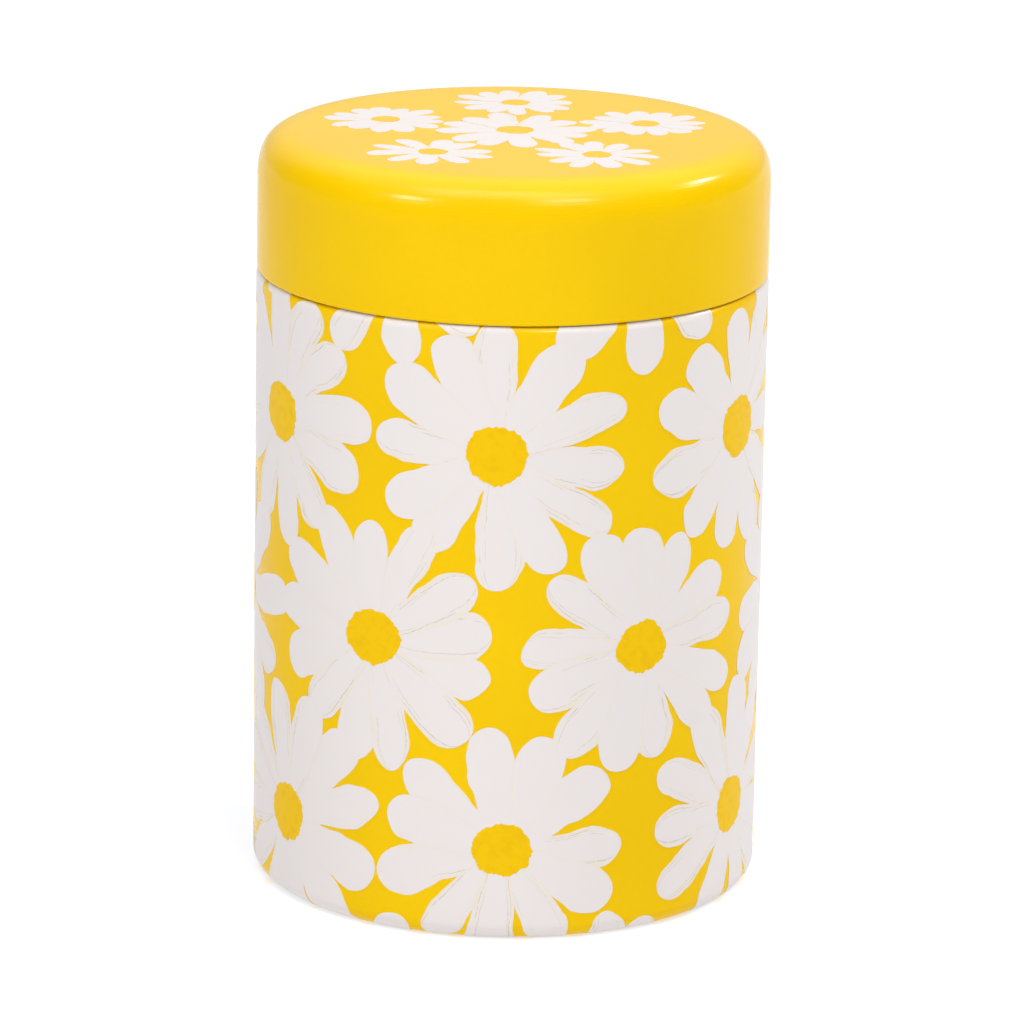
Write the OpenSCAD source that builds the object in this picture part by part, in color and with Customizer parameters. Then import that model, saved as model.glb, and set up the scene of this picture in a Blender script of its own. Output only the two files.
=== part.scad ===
// Round coffee tin: a printed tinplate body on a full-length inner sleeve, a
// drawn push-on lid, and an inner aroma lid with a knob.
// Frame: +Z up, origin on the ground at the middle of the foot, front at -Y.

/* [Tin] */
// Outer diameter of the printed body
body_d = 90; // [80:1:110]
// Height of the closed tin
total_h = 134; // [120:1:170]
// Height of the outer lid
lid_h = 24.5; // [23.5:0.5:30]
// Thickness of the tinplate
sheet = 0.25; // [0.2:0.01:0.3]

/* [Outer lid] */
// How far the rounded shoulder reaches in over the top
shoulder_reach = 9; // [5:0.5:12]
// How far the rounded shoulder reaches down the skirt
shoulder_depth = 9.5; // [5:0.5:12]
// Squareness of the shoulder, where 2 is an ellipse
shoulder_power = 3.2; // [2.4:0.1:4]
// Diameter of the curl rolled into the rim
lid_curl_d = 1; // [0.8:0.1:1.2]

/* [Body] */
// Step from the body's wall in to the neck, and the radius of that shoulder
neck_step = 1.35; // [1.2:0.05:1.6]
// Radius of the rounded foot
foot_r = 3; // [2:0.25:4]
// Height of the neck above the shoulder
neck_h = 19; // [14:0.5:19]
// Clear height under the base plate
base_recess = 3.3; // [2.5:0.1:5]

/* [Inner lid] */
// Depth of the dish from its flange to its panel
dish_depth = 10; // [8.5:0.5:12]
// Thickness of the sealing ring
gasket_t = 0.8; // [0.6:0.1:1.2]
// Diameter of the knob's head
knob_d = 20; // [14:1:24]
// Height of the knob
knob_h = 12; // [9:0.5:13]

/* [Hidden] */
$fn = 96;

// Clearances: at edges that meet, at pressed joints and at seats, and how far a cutter overshoots
edge_gap = 0.05;
pressed_gap = 0.03;
seat_gap = 0.02;
overshoot = 1;

// Radii of the main cylinders
body_r = body_d / 2;
lid_r = body_r - edge_gap;
neck_r = body_r - neck_step;
sleeve_in_r = neck_r - sheet;

// Heights of the levels, from the ground up
base_bottom = base_recess;
shoulder_top = total_h - lid_h;
neck_top = shoulder_top + neck_h;
flange_bottom = neck_top + gasket_t + 2 * seat_gap;
flange_top = flange_bottom + sheet;
panel_top = flange_top - dish_depth;

// Foot of the body: a flat ring between the outer round and the hem that turns up inside
foot_flat = 0.5;
hem_r = 0.7;
hem_in_r = body_r - foot_r - foot_flat - hem_r;
hem_top = base_bottom - edge_gap;

// Angle at which the shoulder's edge stops, just short of the neck
shoulder_end_angle = 88;

// Side seam: the lap inside the body's wall, at the back
seam_angle = 90;
lap_w = 4;
lap_foot_gap = 2;

// Base plate: flange that stands in the sleeve, and a stiffening step in the panel
base_r = sleeve_in_r - pressed_gap;
base_bend_r = 1;
base_flange_top = base_bottom + 4;
base_step_r = 33;
base_step_w = 1;
base_step_h = 0.8;

// Bead of sealing compound: how far it stays off the foot's hem and the sleeve, and its section
seal_hem_gap = 0.1;
seal_sleeve_gap = 0.35;
seal_t = 1.1;
seal_round = 0.2;

// Neck: lock bead under the shoulder, and the curl rolled inwards at the top
bead_h = 0.35;
bead_r = 0.5;
bead_drop = 0.25;
bead_steps = 8;
neck_curl_d = 1.15;
sleeve_foot_gap = 0.2;

// Curls of the neck and the outer lid: how far they turn, and in how many steps
curl_turn = 250;
curl_steps = 14;

// Inner lid: wall of the dish, flange and its turned-down edge, and a ring bead
dish_side_gap = 0.3;
dish_r = neck_r - neck_curl_d - dish_side_gap;
dish_bend_r = 1.6;
flange_r = neck_r - 2 * edge_gap;
flange_bend_r = 0.6;
flange_edge_r = 0.35;
flange_lip_h = 0.7;
gasket_round = 0.25;
panel_bead_r = 26;
panel_bead_w = 3;
panel_bead_h = 0.7;

// Fastening of the knob: an M4 pan-head screw with a washer
screw_r = 2;
screw_clear = 0.15;
screw_l = 8.5;
screw_fit = 0.02;
screw_chamfer = 0.5;
head_r = 4;
head_h = 2.2;
head_round = 1.4;
head_chamfer = 0.1;
recess_w = 1;
recess_span = 4.4;
recess_depth = 1.2;
washer_r = 6;
washer_t = 0.8;
washer_round = 0.15;

// Knob: foot, waist, and a head with a rounded edge and a low crown
knob_base_r = 6.5;
knob_base_round = 0.5;
knob_waist_r = 4.6;
knob_head_t = knob_h * 0.36;
knob_edge_r = 1.1;
knob_edge_end = 40;
knob_crown = 0.9;
knob_bore_spare = 1;
knob_bore_l = screw_l - sheet - washer_t + knob_bore_spare;

// ---- Helpers for sheet-metal sections, all in the (radius, height) plane ----

function unit(v) = v / norm(v);
function left_of(v) = [-v[1], v[0]];

// Points of an arc about centre c, from angle a to angle b, in n steps
function arc(c, r, a, b, n = 8) =
    [for (i = [0 : n]) c + r * [cos(a + (b - a) * i / n), sin(a + (b - a) * i / n)]];

// Direction that leaves a path squarely to its left at point i, lengthened at a bend
function side(p, i) =
    let (
        before = unit(i == 0 ? p[1] - p[0] : p[i] - p[i - 1]),
        after = i == len(p) - 1 ? before : unit(p[i + 1] - p[i]),
        middle = unit(left_of(before) + left_of(after))
    ) middle / (middle * left_of(after));

// Closed outline of a sheet of thickness t whose left face follows path p
function layer(p, t) = concat(p,
    [for (i = [len(p) - 1 : -1 : 0]) p[i] - t * side(p, i)]);

// Quarter of a superellipse from the top flat (x = 0) to the skirt (x = reach)
function shoulder_curve(reach, depth, power, n = 20) =
    [for (i = [0 : n]) let (a = 90 * i / n)
        [reach * pow(sin(a), 2 / power), depth * pow(cos(a), 2 / power)]];

// Flat ring whose edges are rounded with radius e
function ring_section(r1, r2, z1, z2, e) = concat(
    arc([r2 - e, z1 + e], e, -90, 0, 4), arc([r2 - e, z2 - e], e, 0, 90, 4),
    arc([r1 + e, z2 - e], e, 90, 180, 4), arc([r1 + e, z1 + e], e, 180, 270, 4));

// Solid of revolution about the tin's axis
module turned(outline) {
    rotate_extrude() polygon(outline);
}

// Upright strip on a cylinder, w wide at its middle, from radius r1 to r2
module wall_strip(r1, r2, w, z1, z2) {
    half = asin(w / 2 / r2);
    rotate([0, 0, seam_angle - half])
        rotate_extrude(angle = 2 * half)
            translate([r1, z1])
                square([r2 - r1, z2 - z1]);
}

// ---- Body ----

// Printed outer wall: shoulder, wall, rounded foot and the hem turned up inside
module body_shell() {
    outside = concat(
        arc([neck_r, shoulder_top - neck_step], neck_step, shoulder_end_angle, 0, 8),
        arc([body_r - foot_r, foot_r], foot_r, 0, -90, 12),
        arc([hem_in_r + hem_r, hem_r], hem_r, -90, -180, 6),
        [[hem_in_r, hem_top]]);
    color("gold") {
        turned(layer(outside, sheet));
        wall_strip(body_r - 2 * sheet, body_r - sheet / 2, lap_w,
            foot_r + lap_foot_gap, shoulder_top - 2 * neck_step);
    }
}

// Plain inner sleeve, from the foot up to the curled mouth of the neck
module neck_sleeve() {
    bead_z = shoulder_top - sheet - bead_r - bead_drop;
    foot_z = foot_r - sqrt(pow(foot_r - sheet, 2) - pow(neck_r - body_r + foot_r, 2));
    curl_r = neck_curl_d / 2;
    outside = concat(
        arc([neck_r - curl_r, neck_top - curl_r], curl_r, curl_turn, 0, curl_steps),
        [for (i = [0 : bead_steps]) let (a = 180 * i / bead_steps - 90)
            [neck_r + bead_h * (1 + sin(90 - 2 * abs(a))) / 2, bead_z - bead_r * a / 90]],
        [[neck_r, foot_z + sleeve_foot_gap]]);
    color("silver") turned(layer(outside, sheet));
}

// Bottom of the tin: a pan pressed into the sleeve and held up by the foot's hem
module base_plate() {
    z = base_bottom;
    up = z + base_step_h;
    underside = concat(
        [[base_r, base_flange_top]],
        arc([base_r - base_bend_r, z + base_bend_r], base_bend_r, 0, -90, 6),
        [[base_step_r + base_step_w, z], [base_step_r, up], [0, up]]);
    color("silver") turned(layer([for (i = [len(underside) - 1 : -1 : 0]) underside[i]], -sheet));
}

// Bead of sealing compound in the channel between the foot's hem and the sleeve
module base_seal() {
    r1 = hem_in_r + sheet + seal_hem_gap;
    r2 = sleeve_in_r - seal_sleeve_gap;
    top = base_bottom - pressed_gap;
    color("dimgray") turned(ring_section(r1, r2, top - seal_t, top, seal_round));
}

// ---- Inner lid ----

// Dished aroma lid: panel with a ring bead, wall, and a flange with a turned-down edge
module inner_lid_plate() {
    z = panel_top;
    wall_r = dish_r - sheet;
    top_face = concat(
        [[screw_r + screw_clear, z]],
        [for (i = [0 : bead_steps]) [panel_bead_r + panel_bead_w * (i / bead_steps - 0.5),
            z + panel_bead_h * (1 - cos(360 * i / bead_steps)) / 2]],
        arc([wall_r - dish_bend_r, z + dish_bend_r], dish_bend_r, -90, 0, 6),
        arc([wall_r + flange_bend_r, flange_top - flange_bend_r], flange_bend_r, 180, 90, 5),
        arc([flange_r - flange_edge_r, flange_top - flange_edge_r], flange_edge_r, 90, 0, 4),
        [[flange_r, flange_top - flange_lip_h]]);
    color("silver") turned(layer(top_face, sheet));
}

// Ring under the flange that seals on the curl of the neck
module inner_lid_gasket() {
    bend_end_r = dish_r - sheet + flange_bend_r;
    color("whitesmoke") turned(ring_section(bend_end_r, flange_r - sheet - edge_gap,
        neck_top + seat_gap, flange_bottom - seat_gap, gasket_round));
}

// Turned knob with a domed head, a waist and a blind hole for the screw
module knob() {
    rim_r = knob_d / 2 - knob_edge_r;
    neck_z = knob_h - knob_head_t;
    crown_r = rim_r + knob_edge_r * cos(knob_edge_end);
    crown_z = neck_z + knob_edge_r * (1 + sin(knob_edge_end));
    taper = knob_base_r - knob_waist_r;
    flare = rim_r - knob_waist_r;
    shoulder = knob_h - knob_crown - crown_z;
    foot = concat(
        [[0, 0]],
        arc([knob_base_r - knob_base_round, knob_base_round], knob_base_round, -90, 0, 4));
    waist = [for (i = [1 : 14]) let (t = i / 14)
        [knob_waist_r + taper * pow(1 - t, 3) + flare * pow(t, 5),
            knob_base_round + (neck_z - knob_base_round) * t]];
    edge = arc([rim_r, neck_z + knob_edge_r], knob_edge_r, -90, knob_edge_end, 8);
    top = [for (i = [1 : 10]) let (t = 1 - i / 10)
        [crown_r * t, knob_h - knob_crown * pow(t, 2) - shoulder * pow(t, 6)]];
    color("gainsboro") translate([0, 0, panel_top]) difference() {
        turned(concat(foot, waist, edge, top));
        translate([0, 0, -overshoot])
            cylinder(r = screw_r + screw_fit, h = knob_bore_l + overshoot);
    }
}

// Flat washer between the panel and the screw's head
module knob_washer() {
    z = panel_top - sheet - washer_t;
    color("silver") difference() {
        turned(ring_section(screw_r / 2, washer_r, z, z + washer_t, washer_round));
        translate([0, 0, z - overshoot])
            cylinder(r = screw_r + screw_clear, h = washer_t + 2 * overshoot);
    }
}

// Pan-head screw with a cross recess, driven up into the knob
module knob_screw() {
    z = panel_top - sheet - washer_t;
    head = concat(
        [[0, z - head_h]],
        arc([head_r - head_round, z - head_h + head_round], head_round, -90, 0, 6),
        [[head_r, z - head_chamfer], [head_r - head_chamfer, z]]);
    shank = [[screw_r, z], [screw_r, z + screw_l - screw_chamfer],
        [screw_r - screw_chamfer, z + screw_l], [0, z + screw_l]];
    color("silver") difference() {
        turned(concat(head, shank));
        for (a = [0, 90])
            rotate([0, 0, a])
                translate([-recess_span / 2, -recess_w / 2, z - head_h - overshoot])
                    cube([recess_span, recess_w, recess_depth + overshoot]);
    }
}

// ---- Outer lid ----

// Drawn cap: flat top, rounded shoulder, skirt and the curl rolled in at its rim
module lid_shell() {
    curl_r = lid_curl_d / 2;
    rim_z = shoulder_top + edge_gap;
    corner = [for (p = shoulder_curve(shoulder_reach, shoulder_depth, shoulder_power))
        [lid_r - shoulder_reach + p[0], total_h - shoulder_depth + p[1]]];
    outside = concat(
        [[0, total_h]],
        corner,
        arc([lid_r - curl_r, rim_z + curl_r], curl_r, 0, -curl_turn, curl_steps));
    color("gold") turned(layer(outside, sheet));
}

body_shell();
neck_sleeve();
base_plate();
base_seal();
inner_lid_plate();
inner_lid_gasket();
knob();
knob_washer();
knob_screw();
lid_shell();
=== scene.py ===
import math
import random

import bpy
import bmesh
from mathutils import Matrix, Vector, noise


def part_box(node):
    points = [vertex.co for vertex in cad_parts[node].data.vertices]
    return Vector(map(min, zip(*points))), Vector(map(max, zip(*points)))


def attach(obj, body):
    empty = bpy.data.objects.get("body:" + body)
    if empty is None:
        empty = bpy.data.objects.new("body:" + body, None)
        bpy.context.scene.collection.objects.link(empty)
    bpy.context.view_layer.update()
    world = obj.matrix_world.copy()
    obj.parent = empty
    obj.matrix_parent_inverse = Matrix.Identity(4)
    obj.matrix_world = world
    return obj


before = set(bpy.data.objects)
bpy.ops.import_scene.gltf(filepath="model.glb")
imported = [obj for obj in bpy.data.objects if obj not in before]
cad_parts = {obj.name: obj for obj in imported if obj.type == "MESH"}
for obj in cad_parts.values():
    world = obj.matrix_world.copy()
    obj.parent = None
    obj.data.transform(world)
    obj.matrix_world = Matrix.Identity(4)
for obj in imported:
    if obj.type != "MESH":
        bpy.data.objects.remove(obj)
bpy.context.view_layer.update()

MM = 0.001

# ------------------------------------------------------------------ sizes read from the frame

shell_lo, shell_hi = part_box("body_shell")
lid_lo, lid_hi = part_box("lid_shell")
knob_lo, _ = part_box("knob")
R = shell_hi.x                       # outer radius of the body
LID_TOP = lid_hi.z
SHOULDER_R = 1.35 * MM               # rounding of the body under the lid, as in the part
FOOT_R = 3.0 * MM                    # rounding of the foot, as in the part
LID_REACH = 9.0 * MM                 # how far in the lid's shoulder reaches, as in the part
LID_DEPTH = 9.5 * MM                 # how deep it is
LID_POWER = 3.2                      # the power of its curve
WALL_TOP = shell_hi.z - SHOULDER_R   # the upright wall ends here, at both roundings
WALL_BOTTOM = FOOT_R

# ------------------------------------------------------------------ camera

LENS = 207.9                         # mm
SENSOR = 36.0                        # mm
PITCH = math.radians(15.45)
ROLL = math.radians(1.0)
DISTANCE = 1.0517
AIM = Vector((0.62 * MM, 0.0, 64.8 * MM))
NEAREST, FARTHEST = 0.01, 50.0       # what the camera sees lies between these

cam_data = bpy.data.cameras.new("camera")
cam = bpy.data.objects.new("camera", cam_data)
bpy.context.scene.collection.objects.link(cam)
cam_data.lens = LENS
cam_data.sensor_width = SENSOR
cam_data.clip_start = NEAREST
cam_data.clip_end = FARTHEST
cam.location = AIM + DISTANCE * Vector((0.0, -math.cos(PITCH), math.sin(PITCH)))
look = (AIM - cam.location).to_track_quat("-Z", "Y").to_matrix()
cam.rotation_euler = (look @ Matrix.Rotation(ROLL, 3, "Z")).to_euler()
bpy.context.scene.camera = cam

# ------------------------------------------------------------------ node helpers


class Nodes:
    """A node tree, with short calls for the nodes used here."""

    def __init__(self, tree):
        self.tree = tree
        self.coords = tree.nodes.new("ShaderNodeTexCoord")

    def link(self, a, b):
        self.tree.links.new(a, b)

    def put(self, socket, value):
        if hasattr(value, "is_linked"):
            self.link(value, socket)
        else:
            socket.default_value = value

    def math(self, op, a, b=0.0, c=0.0):
        n = self.tree.nodes.new("ShaderNodeMath")
        n.operation = op
        for s, v in zip(n.inputs, (a, b, c)):
            self.put(s, v)
        return n.outputs[0]

    def ramp(self, value, lo, hi, out_lo=0.0, out_hi=1.0):
        """Smooth step from out_lo, where the value is lo, to out_hi, where it is hi."""
        n = self.tree.nodes.new("ShaderNodeMapRange")
        n.interpolation_type = "SMOOTHSTEP"
        for s, v in zip(n.inputs, (value, lo, hi, out_lo, out_hi)):
            self.put(s, v)
        return n.outputs[0]

    def mix(self, factor, a, b):
        n = self.tree.nodes.new("ShaderNodeMix")
        n.data_type = "RGBA"
        self.put(n.inputs[0], factor)
        for s, v in zip((n.inputs[6], n.inputs[7]), (a, b)):
            self.put(s, v if hasattr(v, "is_linked") else (*v, 1.0))
        return n.outputs[2]

    def noise(self, vector, scale, detail, rough):
        n = self.tree.nodes.new("ShaderNodeTexNoise")
        self.link(vector, n.inputs["Vector"])
        n.inputs["Scale"].default_value = scale
        n.inputs["Detail"].default_value = detail
        n.inputs["Roughness"].default_value = rough
        return n.outputs[0]

    def split(self, vector):
        n = self.tree.nodes.new("ShaderNodeSeparateXYZ")
        self.link(vector, n.inputs[0])
        return n.outputs

    def combine(self, x, y, z):
        n = self.tree.nodes.new("ShaderNodeCombineXYZ")
        for s, v in zip(n.inputs, (x, y, z)):
            self.put(s, v)
        return n.outputs[0]

    def stretch(self, *axes):
        """A vector from three (value, scale) pairs."""
        return self.combine(*(self.math("MULTIPLY", value, scale) for value, scale in axes))


class Look(Nodes):
    """A material with one principled shader."""

    def __init__(self, name):
        self.mat = bpy.data.materials.new(name)
        self.mat.use_nodes = True
        self.mat.node_tree.nodes.clear()
        super().__init__(self.mat.node_tree)
        self.out = self.tree.nodes.new("ShaderNodeOutputMaterial")
        self.bsdf = self.tree.nodes.new("ShaderNodeBsdfPrincipled")
        self.link(self.bsdf.outputs[0], self.out.inputs[0])
        self.obj = self.coords.outputs["Object"]

    def set(self, **values):
        """Constants and links on the shader: underscores stand for spaces."""
        for key, value in values.items():
            self.put(self.bsdf.inputs[key.replace("_", " ")], value)

    def bump(self, height, distance):
        n = self.tree.nodes.new("ShaderNodeBump")
        n.inputs["Strength"].default_value = 1.0
        n.inputs["Distance"].default_value = distance
        self.link(height, n.inputs["Height"])
        self.link(n.outputs[0], self.bsdf.inputs["Normal"])

    def varnish(self):
        """Weight of the clear varnish: none on upright walls, most where the face looks up."""
        up = self.split(self.coords.outputs["Normal"])[2]
        return self.ramp(up, *VARNISH_FACES, 0.0, VARNISH)

    def outward(self, centre_z):
        """1 on faces that look away from a point on the tin's axis, 0 on those that face it."""
        shift = self.tree.nodes.new("ShaderNodeVectorMath")
        shift.operation = "SUBTRACT"
        self.link(self.obj, shift.inputs[0])
        shift.inputs[1].default_value = (0.0, 0.0, centre_z)
        dot = self.tree.nodes.new("ShaderNodeVectorMath")
        dot.operation = "DOT_PRODUCT"
        self.link(shift.outputs[0], dot.inputs[0])
        self.link(self.coords.outputs["Normal"], dot.inputs[1])
        return self.math("GREATER_THAN", dot.outputs["Value"], 0.0)


# ------------------------------------------------------------------ colours, linear

YELLOW = (0.870, 0.552, 0.0012)
YELLOW_DEEP = (0.835, 0.515, 0.0010)
INK_WHITE = (0.765, 0.713, 0.697)
INK_WARM = (0.775, 0.705, 0.640)
INK_EDGE = (0.820, 0.660, 0.300)
INK_LINE = (0.420, 0.310, 0.110)
DISC = (0.850, 0.525, 0.0020)
DISC_DEEP = (0.790, 0.450, 0.0020)
TIN_LIGHT = (0.640, 0.635, 0.615)
TIN_DARK = (0.600, 0.596, 0.578)
INNER_LIGHT = (0.660, 0.640, 0.600)
INNER_DARK = (0.630, 0.612, 0.572)
ALUMINIUM = (0.780, 0.780, 0.790)
STEEL = (0.620, 0.630, 0.660)
SILICONE = (0.720, 0.720, 0.680)
COMPOUND = (0.100, 0.105, 0.110)
FLOOR_DARK = (0.460, 0.475, 0.510)
FLOOR_LIGHT = (0.480, 0.495, 0.530)
PURE_WHITE = (1.0, 1.0, 1.0)

# ------------------------------------------------------------------ finish of each surface

PRINT_IOR = 1.14                     # the lacquer and the ink by themselves
VARNISH = 0.40                       # weight of the clear varnish where the sheet faces up
VARNISH_FACES = (0.05, 0.45)         # how far up a face looks where the varnish starts and is full
VARNISH_IOR = 1.5
VARNISH_ROUGH = 0.21
PAINT_BUMP = 0.02 * MM
TIN_BUMP = 0.008 * MM
TURNED_BUMP = 0.02 * MM
RUBBER_BUMP = 0.03 * MM
TIN_GRAIN = (900.0, 900.0, 60.0)     # rolling marks, long and fine
TURNED_SHADE = 0.78                  # darkest ring on turned metal, against its colour
TURNED_STREAK = 0.35                 # anisotropy
RUBBER_SHADE = 0.85
RUBBER_DEPTH = 2.0 * MM              # how far light travels inside silicone
KNOB_RINGS = 0.22 * MM               # pitch of the turning marks
SCREW_RINGS = 0.15 * MM
WORN_SPREAD = 3.71                   # turns a stroke's seed into its wear
HAIRLINES = (                        # place across, how far it wanders, seed shift, strength
    (0.56, 0.46, 0.0, 0.62),
    (0.38, 0.50, 41.0, 0.40),
)


def tinplate(n, light, dark):
    """Colour, roughness and height of rolled tinplate, with a faint grain and a soft spangle."""
    rolled = n.tree.nodes.new("ShaderNodeMapping")
    n.link(n.obj, rolled.inputs[0])
    rolled.inputs["Scale"].default_value = TIN_GRAIN
    grain = n.noise(rolled.outputs[0], scale=1.0, detail=3.0, rough=0.6)
    spangle = n.noise(n.obj, scale=260.0, detail=2.0, rough=0.45)
    colour = n.mix(n.ramp(spangle, 0.35, 0.65), dark, light)
    rough = n.math("MULTIPLY_ADD", grain, 0.16, 0.20)
    return colour, rough, grain


def lacquer_material(name, centre_z):
    """Printed yellow lacquer on the outside of a shell, bare tinplate on its inside."""
    n = Look(name)
    outside = n.outward(centre_z)
    inside = n.math("SUBTRACT", 1.0, outside)
    cloud = n.noise(n.obj, scale=22.0, detail=3.0, rough=0.55)
    fine = n.noise(n.obj, scale=900.0, detail=2.0, rough=0.6)
    paint = n.mix(n.ramp(cloud, 0.30, 0.72), YELLOW, YELLOW_DEEP)
    paint = n.mix(n.ramp(fine, 0.45, 0.75, 0.0, 0.10), paint, DISC_DEEP)
    paint_rough = n.math("MULTIPLY_ADD", cloud, 0.10, 0.16)
    metal, metal_rough, _ = tinplate(n, TIN_LIGHT, TIN_DARK)
    n.set(
        Base_Color=n.mix(outside, metal, paint),
        Metallic=inside,
        Roughness=n.math(
            "ADD",
            n.math("MULTIPLY", outside, paint_rough),
            n.math("MULTIPLY", inside, metal_rough),
        ),
        IOR=PRINT_IOR,
        Coat_Weight=n.math("MULTIPLY", outside, n.varnish()),
        Coat_IOR=VARNISH_IOR,
        Coat_Roughness=VARNISH_ROUGH,
    )
    n.bump(n.math("MULTIPLY_ADD", fine, 0.35, cloud), PAINT_BUMP)
    return n.mat


def white_strokes(n):
    """Colour and height of white ink from a dry brush: streaks, broken hairlines and a warm edge.

    A stroke's own coordinates are u across (-1 to 1) and v along (0 to 1), and a seed of its own.
    """
    stroke = n.tree.nodes.new("ShaderNodeAttribute")
    stroke.attribute_name = "stroke"
    u, v, seed = n.split(stroke.outputs["Vector"])
    across = n.math("ABSOLUTE", u)
    streak = n.noise(n.stretch((u, 7.0), (v, 1.1), (seed, 1.0)), scale=1.0, detail=3.0, rough=0.6)
    tone = n.mix(n.ramp(streak, 0.42, 0.75, 0.0, 0.40), INK_WHITE, INK_WARM)
    worn = n.ramp(n.math("FRACT", n.math("MULTIPLY", seed, WORN_SPREAD)), 0.40, 0.60)
    dry = n.noise(n.stretch((v, 26.0), (u, 16.0), (seed, 1.0)), scale=1.0, detail=2.0, rough=0.7)
    for centre, spread, shift, strength in HAIRLINES:
        key = n.math("ADD", seed, shift)
        drift = n.noise(
            n.stretch((v, 2.2), (key, 1.0), (u, 0.8)), scale=1.0, detail=3.0, rough=0.6
        )
        inside = n.math("SUBTRACT", n.math("MULTIPLY_ADD", drift, spread, centre), across)
        part = n.noise(
            n.stretch((v, 2.1), (u, 1.1), (key, 1.0)), scale=1.0, detail=2.0, rough=0.5
        )
        drawn = n.math("MULTIPLY", worn, n.ramp(part, 0.47, 0.54))
        thin = n.ramp(n.math("ABSOLUTE", inside), 0.006, 0.030, 1.0, 0.0)
        line = n.math("MULTIPLY", thin, drawn)
        line = n.math("MULTIPLY", line, n.ramp(dry, 0.34, 0.56, 0.15, 1.0))
        rim = n.math("MULTIPLY", n.ramp(inside, -0.14, 0.0, 1.0, 0.0), drawn)
        rim = n.math("MULTIPLY", rim, n.ramp(dry, 0.42, 0.62, 0.1, 1.0))
        tone = n.mix(n.math("MULTIPLY", rim, 0.5 * strength), tone, INK_EDGE)
        tone = n.mix(n.math("MULTIPLY", line, strength), tone, INK_LINE)
    return n.mix(n.ramp(across, 0.94, 0.99, 0.0, 0.25), tone, INK_EDGE), streak


def mottled_ink(n):
    """Colour and height of the yellow ink of the flowers' eyes."""
    mottle = n.noise(n.obj, scale=650.0, detail=3.0, rough=0.65)
    return n.mix(n.ramp(mottle, 0.42, 0.74, 0.0, 0.7), DISC, DISC_DEEP), mottle


def ink_material(name, ink):
    """Printing ink, with colour and height from that function."""
    n = Look(name)
    colour, height = ink(n)
    cloud = n.noise(n.obj, scale=40.0, detail=2.0, rough=0.5)
    n.set(
        Base_Color=colour,
        Metallic=0.0,
        Roughness=n.math("MULTIPLY_ADD", cloud, 0.12, 0.28),
        IOR=PRINT_IOR,
        Coat_Weight=n.varnish(),
        Coat_IOR=VARNISH_IOR,
        Coat_Roughness=VARNISH_ROUGH,
    )
    n.bump(n.math("MULTIPLY_ADD", height, 0.6, cloud), PAINT_BUMP)
    return n.mat


def tin_material(name, light, dark):
    """Bare tinplate on both sides."""
    n = Look(name)
    colour, rough, grain = tinplate(n, light, dark)
    n.set(Base_Color=colour, Metallic=1.0, Roughness=rough)
    n.bump(grain, TIN_BUMP)
    return n.mat


def turned_material(name, colour, ring_pitch, centre_z):
    """Metal turned on a lathe: fine rings about the axis."""
    n = Look(name)
    x, y, z = n.split(n.obj)
    square = n.math("ADD", n.math("MULTIPLY", x, x), n.math("MULTIPLY", y, y))
    along = n.math("ADD", n.math("SQRT", square), n.math("SUBTRACT", z, centre_z))
    ring = n.combine(n.math("DIVIDE", along, ring_pitch), 0.0, 0.0)
    rings = n.noise(ring, scale=1.0, detail=3.0, rough=0.6)
    smudge = n.noise(n.obj, scale=180.0, detail=2.0, rough=0.5)
    dark = tuple(TURNED_SHADE * c for c in colour)
    ring_rough = n.math("MULTIPLY_ADD", rings, 0.12, 0.16)
    n.set(
        Base_Color=n.mix(n.ramp(rings, 0.3, 0.7), dark, colour),
        Metallic=1.0,
        Roughness=n.math("MULTIPLY_ADD", smudge, 0.14, ring_rough),
        Anisotropic=TURNED_STREAK,
    )
    n.bump(rings, TURNED_BUMP)
    return n.mat


def rubber_material(name, colour, rough, subsurface):
    """Soft sealing material with a speckled, slightly uneven face."""
    n = Look(name)
    speck = n.noise(n.obj, scale=500.0, detail=3.0, rough=0.6)
    cloud = n.noise(n.obj, scale=60.0, detail=2.0, rough=0.5)
    dark = tuple(RUBBER_SHADE * c for c in colour)
    n.set(
        Base_Color=n.mix(n.ramp(cloud, 0.3, 0.7), dark, colour),
        Roughness=n.math("MULTIPLY_ADD", speck, 0.2, rough),
        Subsurface_Weight=subsurface,
        Subsurface_Scale=RUBBER_DEPTH,
    )
    n.bump(speck, RUBBER_BUMP)
    return n.mat


body_lacquer = lacquer_material("body_lacquer", (shell_lo.z + shell_hi.z) / 2)
lid_lacquer = lacquer_material("lid_lacquer", lid_lo.z)
print_white = ink_material("print_white", white_strokes)
print_yellow = ink_material("print_yellow", mottled_ink)
tin = tin_material("tinplate", TIN_LIGHT, TIN_DARK)
tin_inner = tin_material("inner_lid_tinplate", INNER_LIGHT, INNER_DARK)
knob_metal = turned_material("knob_aluminium", ALUMINIUM, KNOB_RINGS, knob_lo.z)
screw_metal = turned_material("screw_steel", STEEL, SCREW_RINGS, knob_lo.z)
gasket = rubber_material("gasket_silicone", SILICONE, rough=0.38, subsurface=0.3)
compound = rubber_material("seal_compound", COMPOUND, rough=0.60, subsurface=0.0)

for node, material in {
    "body_shell": body_lacquer,
    "lid_shell": lid_lacquer,
    "neck_sleeve": tin,
    "base_plate": tin,
    "base_seal": compound,
    "inner_lid_plate": tin_inner,
    "inner_lid_gasket": gasket,
    "knob": knob_metal,
    "knob_washer": screw_metal,
    "knob_screw": screw_metal,
}.items():
    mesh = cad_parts[node].data
    mesh.materials.clear()
    mesh.materials.append(material)

# ------------------------------------------------------------------ printed flowers

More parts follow.
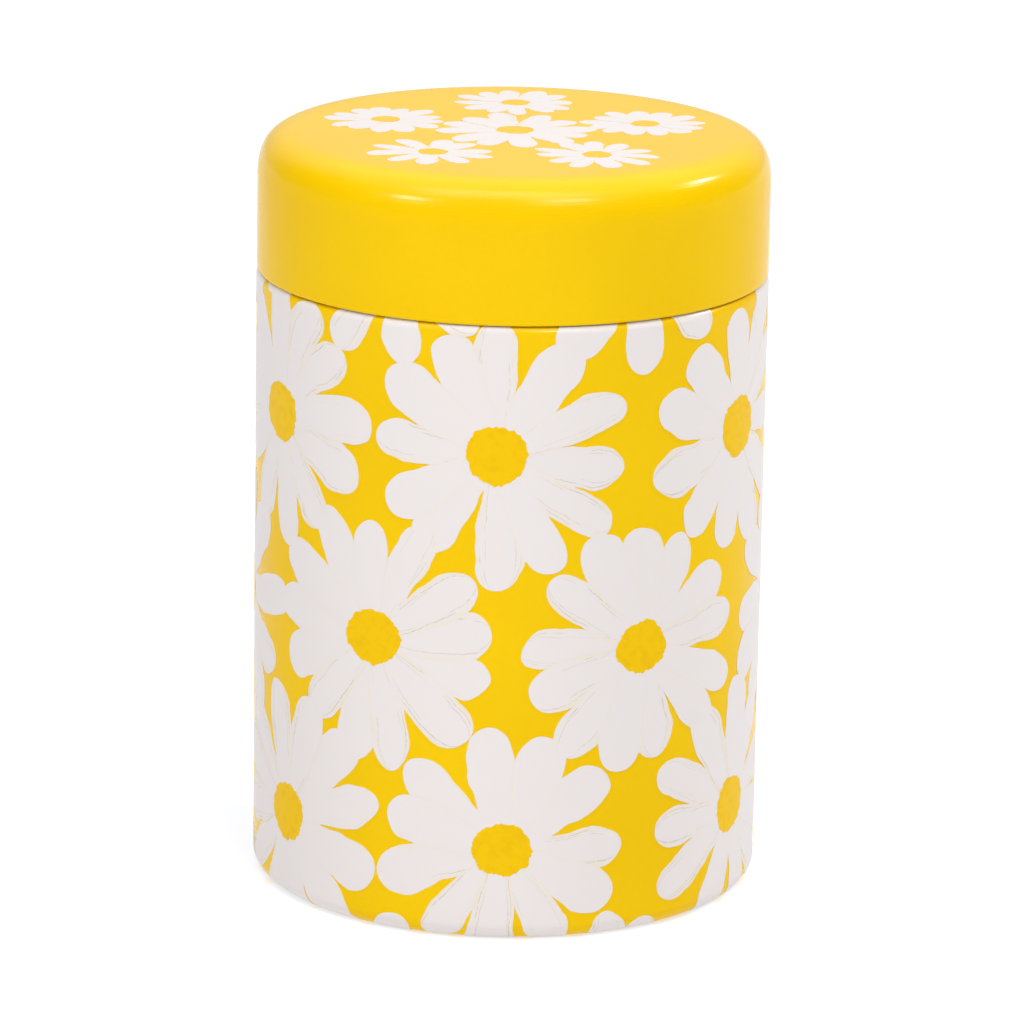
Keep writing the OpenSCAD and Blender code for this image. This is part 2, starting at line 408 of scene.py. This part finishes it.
UNDER = 0.09 * MM                    # how deep an ink solid reaches into the sheet below it
SEAM_MARGIN = 1.3 * MM               # bare strip each side of the seam at the back
INK_LIFT = 0.030 * MM                # lowest ink above the sheet
LEVEL_STEP = 0.002 * MM              # between flowers that may touch
PETAL_STEP = 0.005 * MM              # between the petals of a flower
EYE_LIFT = 0.065 * MM                # a flower's eye above its lowest petal
CREASE_STEP = 12                     # degrees between creases where the print goes round an edge
TOP_TURN = 84                        # degrees that the print goes round the edge under the lid
FOOT_TURN = 70                       # and round the foot
CUT_CLOSE = 1e-7                     # metres: points this near a cut are on it
SAME_POINT = 1e-6                    # metres: points this near each other are one
SHOULDER_LIMIT = 0.9                 # how far out on the lid's shoulder its curve is followed

PETAL_ROWS = 34                      # rows of faces along a petal
PETAL_COLUMNS = 10                   # faces in a row
PETAL_START = 0.72                   # petals begin this far out under the eye, against its radius
PETAL_SHAPE = (0.50, 0.68)           # width at the root against the widest, and where it is widest
LID_PETAL_SHAPE = (0.55, 0.62)
PETAL_FLARE = 0.6                    # straight share of the widening, the rest being round
PETAL_BEND = 0.06                    # sideways bend against the length
TIP_SLANT = 0.45                     # how far a tip may lean
TIP_BLUNT, BLUNT_SPREAD = 2.7, 1.1   # power of the rounding at the tip
EDGE_WAVE, WAVES = 0.07, 3.6         # long waves in a petal's edge, against its width
EDGE_RIPPLE, RIPPLES = 0.07 * MM, 34  # and short ones
EDGE_CALM = 0.25                     # waves fade out where the petal is narrower than this share
NARROWEST = 0.02 * MM

EYE_POINTS = 144
EYE_RINGS = 5
EYE_SCALLOPS = 13                    # the fewest scallops round an eye
SCALLOP_KINDS = 4
SCALLOP_DEPTH = 0.02                 # against the eye's radius, like the depths below
EYE_WAVES = ((0, 0.10, 1.3), (5, 0.085, 4.5), (9, 0.055, 11.0))  # seed shift, depth, how many


def wall_point(u, s, lift):
    """Point on the body's outside: u round it from the front, s up its profile, lift off it."""
    if s > WALL_TOP:
        a = min((s - WALL_TOP) / SHOULDER_R, math.pi / 2)
        r = R - SHOULDER_R + (SHOULDER_R + lift) * math.cos(a)
        z = WALL_TOP + (SHOULDER_R + lift) * math.sin(a)
    elif s < WALL_BOTTOM:
        a = min((WALL_BOTTOM - s) / FOOT_R, math.pi / 2)
        r = R - FOOT_R + (FOOT_R + lift) * math.cos(a)
        z = WALL_BOTTOM - (FOOT_R + lift) * math.sin(a)
    else:
        r, z = R + lift, s
    angle = u / R
    return Vector((r * math.sin(angle), -r * math.cos(angle), z))


def top_point(u, s, lift):
    """Point on the lid's top: flat, then down the start of the lid's shoulder."""
    out = max(0.0, math.hypot(u, s) - (R - LID_REACH)) / LID_REACH
    out = min(out, SHOULDER_LIMIT)
    drop = LID_DEPTH * (1 - (1 - out ** LID_POWER) ** (1 / LID_POWER))
    return Vector((u, s, LID_TOP - drop + lift))


SEED_SPREAD = 7.31                   # keeps the random curves of neighbouring seeds apart
OCTAVE_SHIFT = 3.7


def wander(seed, x):
    """Smooth random number from about -1 to 1 that depends on x: a wave and a finer, lower one."""
    coarse = noise.noise(Vector((x, seed * SEED_SPREAD, 0.0)))
    fine = noise.noise(Vector((2 * x, seed * SEED_SPREAD, OCTAVE_SHIFT)))
    return coarse + 0.5 * fine


def chance(seed):
    """One random number from about -1 to 1 for a seed."""
    return wander(seed, 0.4)


def around(seed, x, y, scale):
    """Smooth random number from -1 to 1 over the directions (x, y) of a circle."""
    return noise.noise(Vector((x * scale, y * scale, seed * SEED_SPREAD)))


def petal_half_width(t, shape, bluntness):
    """Half width at t from 0 at the eye to 1 at the tip, where 1 is the petal's full half width."""
    root, widest = shape
    if t < widest:
        k = t / widest
        return root + (1 - root) * (PETAL_FLARE * k + (1 - PETAL_FLARE) * math.sin(k * math.pi / 2))
    k = (t - widest) / (1 - widest)
    return max(0.0, 1 - k ** bluntness) ** 0.5


def edge_stray(wave_seed, ripple_seed, t, width):
    """How far a petal's edge strays at t."""
    wave = EDGE_WAVE * width * wander(wave_seed, t * WAVES)
    return wave + EDGE_RIPPLE * wander(ripple_seed, t * RIPPLES)


def petal_outline(length, width, seed, shape):
    """Rows across the petal: (distance out, sideways bend, left half width, right half width)."""
    rows = []
    bend = PETAL_BEND * chance(seed)
    bluntness = TIP_BLUNT + BLUNT_SPREAD * chance(seed + 31)
    for i in range(PETAL_ROWS + 1):
        t = math.sin(i / PETAL_ROWS * math.pi / 2)
        half = width / 2 * petal_half_width(t, shape, bluntness)
        calm = min(1.0, half / (EDGE_CALM * width))
        left = half + calm * edge_stray(seed + 11, seed + 23, t, width)
        right = half + calm * edge_stray(seed + 17, seed + 29, t, width)
        side = bend * length * math.sin(t * math.pi)
        rows.append((t, side, max(left, NARROWEST), max(right, NARROWEST)))
    return rows


def add_petal(bm, layer, centre, direction, start, length, width, seed, lift, shape):
    """One brush stroke in the flat (u, s) plane. z holds the lift until the mesh is wrapped."""
    along = Vector((math.cos(direction), math.sin(direction)))
    sideways = Vector((-along.y, along.x))
    slant = TIP_SLANT * chance(seed + 37)
    grid = []
    for t, bend, left, right in petal_outline(length - start, width, seed, shape):
        row = []
        for j in range(PETAL_COLUMNS + 1):
            c = 2 * j / PETAL_COLUMNS - 1
            off = bend + (left if c > 0 else right) * c
            reach = start + t * (length - start) + slant * (off - bend) * t ** 4
            p = centre + along * reach + sideways * off
            vert = bm.verts.new((p.x, p.y, lift))
            vert[layer] = Vector((c, t, seed))
            row.append(vert)
        grid.append(row)
    for a, b in zip(grid, grid[1:]):
        for j in range(PETAL_COLUMNS):
            bm.faces.new((a[j], a[j + 1], b[j + 1], b[j]))


def eye_edge(seed, a):
    """How far the eye's edge strays in direction a, against its radius."""
    scallops = EYE_SCALLOPS + int(seed) % SCALLOP_KINDS
    stray = SCALLOP_DEPTH * abs(math.sin(scallops * a / 2 + seed))
    for shift, depth, scale in EYE_WAVES:
        stray += depth * around(seed + shift, math.cos(a), math.sin(a), scale)
    return stray


def add_eye(bm, layer, centre, radii, seed, lift):
    """The flower's eye: a patch with a scalloped, uneven edge."""
    middle = bm.verts.new((centre.x, centre.y, lift))
    middle[layer] = Vector((0, 0, seed))
    rings = []
    for k in range(1, EYE_RINGS + 1):
        ring = []
        for i in range(EYE_POINTS):
            a = 2 * math.pi * i / EYE_POINTS
            f = k / EYE_RINGS * (1 + eye_edge(seed, a) * (k / EYE_RINGS) ** 2)
            x = centre.x + radii[0] * f * math.cos(a)
            y = centre.y + radii[1] * f * math.sin(a)
            vert = bm.verts.new((x, y, lift))
            vert[layer] = Vector((k / EYE_RINGS, i / EYE_POINTS, seed))
            ring.append(vert)
        rings.append(ring)
    for inner, outer in zip(rings, rings[1:]):
        for i in range(EYE_POINTS):
            j = (i + 1) % EYE_POINTS
            bm.faces.new((inner[i], outer[i], outer[j], inner[j]))
    for i in range(EYE_POINTS):
        bm.faces.new((middle, rings[0][i], rings[0][(i + 1) % EYE_POINTS]))


def cut(bm, point, normal, drop):
    """Cuts the mesh with a plane, and drops what lies on the normal's side if told to."""
    geom = bm.verts[:] + bm.edges[:] + bm.faces[:]
    bmesh.ops.bisect_plane(
        bm, geom=geom, dist=CUT_CLOSE, plane_co=point, plane_no=normal, clear_outer=drop
    )


def trim_to_wall(bm):
    """Cuts strokes where the print ends, and creases them where the wall turns at its two ends."""
    half_girth = math.pi * R - SEAM_MARGIN
    for sign in (-1, 1):
        cut(bm, (sign * half_girth, 0, 0), (sign, 0, 0), True)
    low = min(v.co.y for v in bm.verts) if bm.verts else 0
    high = max(v.co.y for v in bm.verts) if bm.verts else 0
    if high > WALL_TOP:
        end = WALL_TOP + SHOULDER_R * math.radians(TOP_TURN)
        cut(bm, (0, end, 0), (0, 1, 0), True)
        for turn in range(0, TOP_TURN, CREASE_STEP):
            crease = WALL_TOP + SHOULDER_R * math.radians(turn)
            cut(bm, (0, crease, 0), (0, 1, 0), False)
    if low < WALL_BOTTOM:
        end = WALL_BOTTOM - FOOT_R * math.radians(FOOT_TURN)
        cut(bm, (0, end, 0), (0, -1, 0), True)
        for turn in range(0, FOOT_TURN, CREASE_STEP):
            crease = WALL_BOTTOM - FOOT_R * math.radians(turn)
            cut(bm, (0, crease, 0), (0, -1, 0), False)


def solid_from(bm, point):
    """Closed thin solids: every flat stroke becomes a top, a bottom and an edge between them."""
    layer = bm.verts.layers.float_vector["stroke"]
    bm.verts.index_update()
    verts = list(bm.verts)
    count = len(verts)
    top = [point(v.co.x, v.co.y, v.co.z) for v in verts]
    bottom = [point(v.co.x, v.co.y, -UNDER) for v in verts]
    strokes = [tuple(v[layer]) for v in verts]
    faces = [tuple(v.index for v in f.verts) for f in bm.faces]
    faces += [tuple(v.index + count for v in reversed(f.verts)) for f in bm.faces]
    for e in bm.edges:
        if len(e.link_faces) == 1:
            loop = [l for l in e.link_faces[0].loops if l.edge == e][0]
            a, b = loop.vert.index, loop.link_loop_next.vert.index
            faces.append((b, a, a + count, b + count))
    return top + bottom, faces, strokes + strokes


def make_print(name, build, point, trim, material, body):
    """A piece of printed ink: build draws it flat, point wraps it on the tin."""
    bm = bmesh.new()
    layer = bm.verts.layers.float_vector.new("stroke")
    build(bm, layer)
    if trim:
        trim_to_wall(bm)
    bmesh.ops.dissolve_degenerate(bm, dist=SAME_POINT, edges=bm.edges[:])
    bmesh.ops.recalc_face_normals(bm, faces=bm.faces[:])
    up = sum(f.normal.z for f in bm.faces)
    if up < 0:
        bmesh.ops.reverse_faces(bm, faces=bm.faces[:])
    verts, faces, strokes = solid_from(bm, point)
    bm.free()
    mesh = bpy.data.meshes.new(name)
    mesh.from_pydata(verts, [], faces)
    attribute = mesh.attributes.new("stroke", "FLOAT_VECTOR", "POINT")
    attribute.data.foreach_set("vector", [c for s in strokes for c in s])
    mesh.validate()
    piece = bpy.data.objects.new(name, mesh)
    bpy.context.scene.collection.objects.link(piece)
    mesh.materials.append(material)
    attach(piece, body)


PETAL_SEED_STEP = 1.37


def make_flower(name, centre, radii, petals, seed, level, shape, on_wall):
    """A daisy: petals are (direction in degrees, length, width) about the centre."""
    point = wall_point if on_wall else top_point
    body = "tin_body" if on_wall else "outer_lid"
    base = INK_LIFT + LEVEL_STEP * level
    start = PETAL_START * min(radii)

    def strokes(bm, layer):
        for i, (direction, length, width) in enumerate(petals):
            add_petal(
                bm, layer, centre, math.radians(direction), start, length, width,
                seed + PETAL_SEED_STEP * i, base + PETAL_STEP * i, shape,
            )

    def eye(bm, layer):
        add_eye(bm, layer, centre, radii, seed, base + EYE_LIFT)

    make_print(name + "_petals", strokes, point, on_wall, print_white, body)
    if not on_wall or 0.0 < centre.y < WALL_TOP:
        make_print(name + "_eye", eye, point, on_wall, print_yellow, body)


FEWEST_PETALS, MOST_PETALS = 10, 13
PETAL_TURN = 5.0                     # degrees that a petal may be off its even place
PETAL_LENGTHS = (0.90, 1.06)         # shortest and longest, against the daisy's reach
PETAL_WIDTHS = (0.88, 1.12)


def daisy(rng, reach, width):
    """A plain daisy: evenly spread petals of about that length and width, in any order."""
    count = rng.randint(FEWEST_PETALS, MOST_PETALS)
    turn = rng.uniform(0.0, 360.0)
    petals = []
    for i in range(count):
        direction = turn + 360.0 * i / count + rng.uniform(-PETAL_TURN, PETAL_TURN)
        long = reach * rng.uniform(*PETAL_LENGTHS)
        wide = width * rng.uniform(*PETAL_WIDTHS)
        petals.append((direction, long, wide))
    rng.shuffle(petals)
    return petals


# The wall carries a half-drop repeat of daisies. The lid's edge and the foot cut the end rows.
WALL_SEED = 41
COLUMNS = 6
ROWS = 5
FIRST_ROW = -18.0 * MM
ROW_STEP = 35.0 * MM
ROW_JITTER = 2.0 * MM
COLUMN_STEP = 360.0 / COLUMNS        # degrees
COLUMN_JITTER = 3.0                  # degrees
EYE = 5.0 * MM
EYE_SIZES = (0.92, 1.10)
WALL_REACH = 23.0 * MM
WALL_PETAL = 8.0 * MM
FIRST_SEED = 3.0
SEED_STEP = 17.0
LEVELS = 3                           # enough that daisies that touch never share a level

rng = random.Random(WALL_SEED)
for row in range(ROWS):
    for column in range(COLUMNS):
        shift = 0.5 if row % 2 == 0 else 0.0
        angle = -180.0 + COLUMN_STEP * (column + shift) + rng.uniform(-COLUMN_JITTER, COLUMN_JITTER)
        height = FIRST_ROW + ROW_STEP * row + rng.uniform(-ROW_JITTER, ROW_JITTER)
        radii = (EYE * rng.uniform(*EYE_SIZES), EYE * rng.uniform(*EYE_SIZES))
        petals = daisy(rng, WALL_REACH, WALL_PETAL)
        seed = FIRST_SEED + SEED_STEP * (row * COLUMNS + column)
        level = (column - (row + 1) // 2 - row) % LEVELS
        # a daisy on the seam at the back is printed at both ends of the sheet
        at_seam = shift == 0.0 and column == 0
        for part, place in enumerate((angle, angle + 360.0) if at_seam else (angle,)):
            name = f"daisy_{row + 1}_{column + 1}" + ("_other_end" if part else "")
            centre = Vector((math.radians(place) * R, height))
            make_flower(name, centre, radii, petals, seed, level, PETAL_SHAPE, True)

# The lid carries one daisy in the middle and a ring of smaller ones.
LID_SEED = 7
LID_FIRST_SEED = 501.0
LID_EYE = 3.2 * MM
LID_REACH_MIDDLE, LID_PETAL_MIDDLE = 14.5 * MM, 4.8 * MM
LID_RING = 5
LID_RING_R = 24.0 * MM
LID_RING_TURN = 0.25                 # against the step between two daisies of the ring
LID_EYE_RING = 2.5 * MM
LID_REACH_RING, LID_PETAL_RING = 11.0 * MM, 3.7 * MM

rng = random.Random(LID_SEED)
petals = daisy(rng, LID_REACH_MIDDLE, LID_PETAL_MIDDLE)
radii = (LID_EYE, LID_EYE)
centre = Vector((0.0, 0.0))
make_flower("lid_daisy_middle", centre, radii, petals, LID_FIRST_SEED, 0, LID_PETAL_SHAPE, False)
for i in range(LID_RING):
    a = 2 * math.pi * (i + LID_RING_TURN) / LID_RING
    centre = LID_RING_R * Vector((math.cos(a), math.sin(a)))
    petals = daisy(rng, LID_REACH_RING, LID_PETAL_RING)
    seed = LID_FIRST_SEED + SEED_STEP * (i + 1)
    radii = (LID_EYE_RING, LID_EYE_RING)
    name = f"lid_daisy_{i + 1}"
    make_flower(name, centre, radii, petals, seed, 1 + i % 2, LID_PETAL_SHAPE, False)

# ------------------------------------------------------------------ floor, world and lights

FLOOR_HALF = 6.0
FLOOR_GLOW = 0.52

floor_mesh = bpy.data.meshes.new("floor")
corners = [(-1, -1), (1, -1), (1, 1), (-1, 1)]
floor_mesh.from_pydata([(FLOOR_HALF * x, FLOOR_HALF * y, 0) for x, y in corners], [], [(0, 1, 2, 3)])
floor = bpy.data.objects.new("floor", floor_mesh)
bpy.context.scene.collection.objects.link(floor)
floor_look = Look("floor")
floor_tone = floor_look.noise(floor_look.obj, scale=3.0, detail=2.0, rough=0.5)
floor_look.set(
    Base_Color=floor_look.mix(floor_tone, FLOOR_DARK, FLOOR_LIGHT),
    Roughness=0.9,
    Emission_Color=(*PURE_WHITE, 1.0),
    Emission_Strength=FLOOR_GLOW,
)
floor_mesh.materials.append(floor_look.mat)

SKY_LOW, SKY_HIGH = 0.52, 1.05       # brightness at the horizon and overhead
SKY_RISE = (22, 50)                  # degrees up where the sky starts to brighten, and stops
SKY_SIDE = 0.0                       # brightness left and right of the tin, against front and back
SIDE_FALL = (25, 70)                 # degrees off the front or the back where it falls
SKY_FRONT = 0.30                     # brightness behind the camera, against the back
FRONT_RISE = (-0.85, -0.25)          # how far back a direction points where it rises


def sines(degrees):
    return [math.sin(math.radians(d)) for d in degrees]


world = bpy.data.worlds.new("studio")
bpy.context.scene.world = world
world.use_nodes = True
sky = Nodes(world.node_tree)
x, y, z = sky.split(sky.coords.outputs["Generated"])
sky_height = sky.ramp(z, *sines(SKY_RISE), SKY_LOW, SKY_HIGH)
sky_side = sky.ramp(sky.math("ABSOLUTE", x), *sines(SIDE_FALL), 1.0, SKY_SIDE)
sky_front = sky.ramp(y, *FRONT_RISE, SKY_FRONT, 1.0)
sky_level = sky.math("MULTIPLY", sky.math("MULTIPLY", sky_height, sky_side), sky_front)
background = world.node_tree.nodes["Background"]
sky.put(background.inputs["Strength"], sky_level)
background.inputs["Color"].default_value = (*PURE_WHITE, 1.0)

MIDDLE = Vector((0.0, 0.0, 0.12))
LIGHT_DISTANCE = 1.6


def soft_box(name, direction, size, radiance):
    """A rectangular light of that radiance, in that direction from the tin, facing it."""
    data = bpy.data.lights.new(name, "AREA")
    data.shape = "RECTANGLE"
    data.size, data.size_y = size
    data.energy = math.pi * size[0] * size[1] * radiance
    data.color = PURE_WHITE
    lamp = bpy.data.objects.new(name, data)
    bpy.context.scene.collection.objects.link(lamp)
    lamp.location = MIDDLE + LIGHT_DISTANCE * Vector(direction).normalized()
    lamp.rotation_euler = (MIDDLE - lamp.location).to_track_quat("-Z", "Y").to_euler()


soft_box("box_top", direction=(-0.05, -0.36, 0.93), size=(1.60, 0.80), radiance=3.0)
soft_box("box_left", direction=(-0.674, -0.585, 0.452), size=(0.32, 0.065), radiance=82.0)
soft_box("box_front", direction=(0.31, -0.636, 0.57), size=(0.55, 0.14), radiance=23.0)
soft_box("box_back", direction=(0.732, 0.273, 0.57), size=(0.42, 0.08), radiance=72.0)

scene = bpy.context.scene
scene.view_settings.view_transform = "Standard"
scene.view_settings.look = "None"
scene.view_settings.exposure = 0.0
